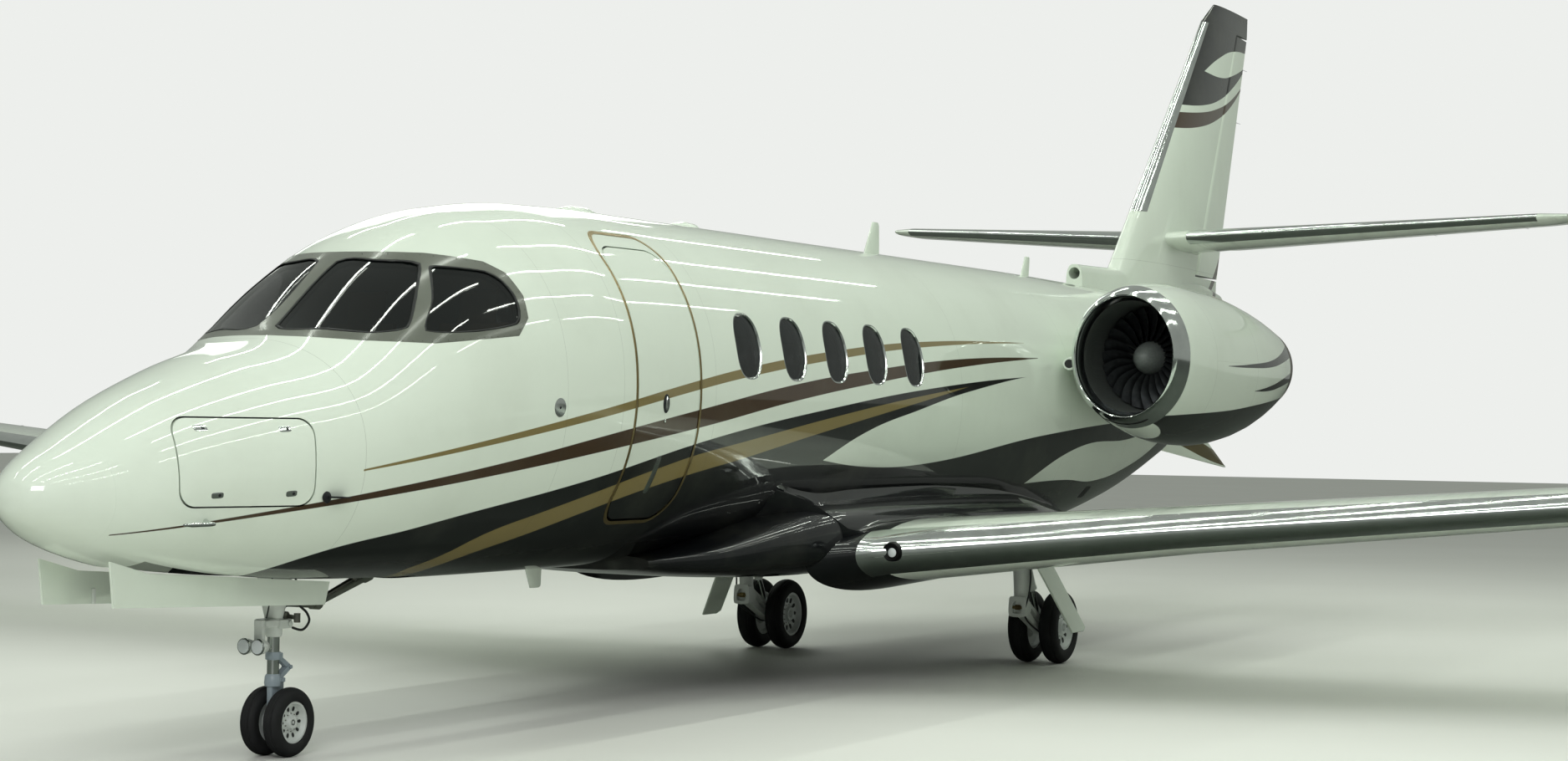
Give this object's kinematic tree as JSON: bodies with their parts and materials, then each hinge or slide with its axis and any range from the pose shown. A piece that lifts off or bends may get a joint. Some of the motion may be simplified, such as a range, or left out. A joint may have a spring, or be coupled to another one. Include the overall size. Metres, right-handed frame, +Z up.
{
  "type": "business jet",
  "caption": "Low-wing business jet on twin-wheel landing gear, with rear fuselage engines, a cross-shaped tail and a cabin door forward on the port side.",
  "frame": {"origin": "on the floor under the middle of the overall length and span", "axes": "+X to port, +Y aft, +Z up; the nose points to -Y"},
  "size_m": [22.05, 18.962, 6.375],
  "materials": {
    "white_paint": "gloss",
    "black_paint": "gloss",
    "window_frame": "satin",
    "cabin_glass": "gloss",
    "seat_leather": "soft",
    "cabin_trim": "matte",
    "engine_metal": "satin",
    "gear_steel": "satin",
    "wheel_paint": "satin",
    "tyre_rubber": "matte"
  },
  "bodies": {
    "airframe": {"aft_bulkhead": "cabin_trim", "aft_fuselage": "white_paint", "belly_fairing": "black_paint", "cabin_floor": "cabin_trim", "cabin_seats_port": "seat_leather", "cabin_seats_starboard": "seat_leather", "cabin_shell": "white_paint", "cabin_windows_port": "cabin_glass", "cabin_windows_starboard": "cabin_glass", "cockpit_shell": "white_paint", "crew_seat_port": "seat_leather", "crew_seat_starboard": "seat_leather", "engine_core_port": "engine_metal", "engine_core_starboard": "engine_metal", "fin": "white_paint", "instrument_panel": "cabin_trim", "main_gear_door_port": "white_paint", "main_gear_door_starboard": "white_paint", "main_leg_port": "gear_steel", "main_leg_starboard": "gear_steel", "nacelle_port": "white_paint", "nacelle_starboard": "white_paint", "nose_gear_door_port": "white_paint", "nose_gear_door_starboard": "white_paint", "nose_leg": "gear_steel", "nose_section": "white_paint", "pylon_port": "white_paint", "pylon_starboard": "white_paint", "radome": "white_paint", "side_pane_port": "cabin_glass", "side_pane_starboard": "cabin_glass", "stabiliser_port": "white_paint", "stabiliser_starboard": "white_paint", "tail_cone": "white_paint", "ventral_fin": "white_paint", "windscreen_frame": "window_frame", "windscreen_pane_port": "cabin_glass", "windscreen_pane_starboard": "cabin_glass", "wing_port": "white_paint", "wing_starboard": "white_paint"},
    "baggage_door": {"baggage_door": "white_paint"},
    "cabin_door": {"cabin_door": "white_paint"},
    "nose_steering": {"nose_fork": "gear_steel"},
    "nose_wheels": {"nose_hubs": "wheel_paint", "nose_tyre_port": "tyre_rubber", "nose_tyre_starboard": "tyre_rubber"},
    "rudder": {"rudder": "white_paint"},
    "main_wheels_port": {"main_hubs_port": "wheel_paint", "main_tyre_port_inner": "tyre_rubber", "main_tyre_port_outer": "tyre_rubber"},
    "fan_port": {"fan_port": "engine_metal"},
    "aileron_port": {"aileron_port": "white_paint"},
    "elevator_port": {"elevator_port": "white_paint"},
    "main_wheels_starboard": {"main_hubs_starboard": "wheel_paint", "main_tyre_starboard_inner": "tyre_rubber", "main_tyre_starboard_outer": "tyre_rubber"},
    "fan_starboard": {"fan_starboard": "engine_metal"},
    "aileron_starboard": {"aileron_starboard": "white_paint"},
    "elevator_starboard": {"elevator_starboard": "white_paint"}
  },
  "joints": [
    {"name": "cabin_door_hinge", "type": "hinge", "parent": "airframe", "child": "cabin_door", "pos_m": [0.7665, -4.95, 1.256], "axis": [0, 1, 0], "range_deg": [0, 125]},
    {"name": "baggage_door_hinge", "type": "hinge", "parent": "airframe", "child": "baggage_door", "pos_m": [0.53308, -8.385, 1.844], "axis": [-0.4355, -0.9002, 0], "range_deg": [0, 95]},
    {"name": "nose_steering", "type": "hinge", "parent": "airframe", "child": "nose_steering", "pos_m": [0, -7.43, 0.5], "axis": [0, 0, 1], "range_deg": [-80, 80]},
    {"name": "nose_wheels_spin", "type": "hinge", "parent": "nose_steering", "child": "nose_wheels", "pos_m": [0, -7.385, 0.19], "axis": [1, 0, 0], "continuous": true},
    {"name": "main_wheels_port_spin", "type": "hinge", "parent": "airframe", "child": "main_wheels_port", "pos_m": [1.21, 0.725, 0.286], "axis": [1, 0, 0], "continuous": true},
    {"name": "fan_port_spin", "type": "hinge", "parent": "airframe", "child": "fan_port", "pos_m": [1.62, 1.975, 2.44], "axis": [0, 1, 0], "continuous": true},
    {"name": "aileron_port_hinge", "type": "hinge", "parent": "airframe", "child": "aileron_port", "pos_m": [9.25, 0.8681, 1.67], "axis": [0.9851, 0.1524, 0.0803], "range_deg": [-16, 16]},
    {"name": "elevator_port_hinge", "type": "hinge", "parent": "airframe", "child": "elevator_port", "pos_m": [1.93, 8.40523, 3.90203], "axis": [0.9451, 0.3185, 0.0734], "range_deg": [-15, 20]},
    {"name": "main_wheels_starboard_spin", "type": "hinge", "parent": "airframe", "child": "main_wheels_starboard", "pos_m": [-1.21, 0.725, 0.286], "axis": [1, 0, 0], "continuous": true},
    {"name": "fan_starboard_spin", "type": "hinge", "parent": "airframe", "child": "fan_starboard", "pos_m": [-1.62, 1.975, 2.44], "axis": [0, 1, 0], "continuous": true},
    {"name": "aileron_starboard_hinge", "type": "hinge", "parent": "airframe", "child": "aileron_starboard", "pos_m": [-9.25, 0.8681, 1.67], "axis": [0.9851, -0.1524, -0.0803], "range_deg": [-16, 16]},
    {"name": "elevator_starboard_hinge", "type": "hinge", "parent": "airframe", "child": "elevator_starboard", "pos_m": [-1.93, 8.40523, 3.90203], "axis": [0.9451, -0.3185, -0.0734], "range_deg": [-15, 20]},
    {"name": "rudder_hinge", "type": "hinge", "parent": "airframe", "child": "rudder", "pos_m": [0, 8.2885, 4.79], "axis": [0, 0.47, 0.8827], "range_deg": [-25, 25]}
  ],
  "couplings": [
    {"joint": "aileron_starboard_hinge", "follows": "aileron_port_hinge", "ratio": -1},
    {"joint": "elevator_starboard_hinge", "follows": "elevator_port_hinge", "ratio": 1}
  ]
}
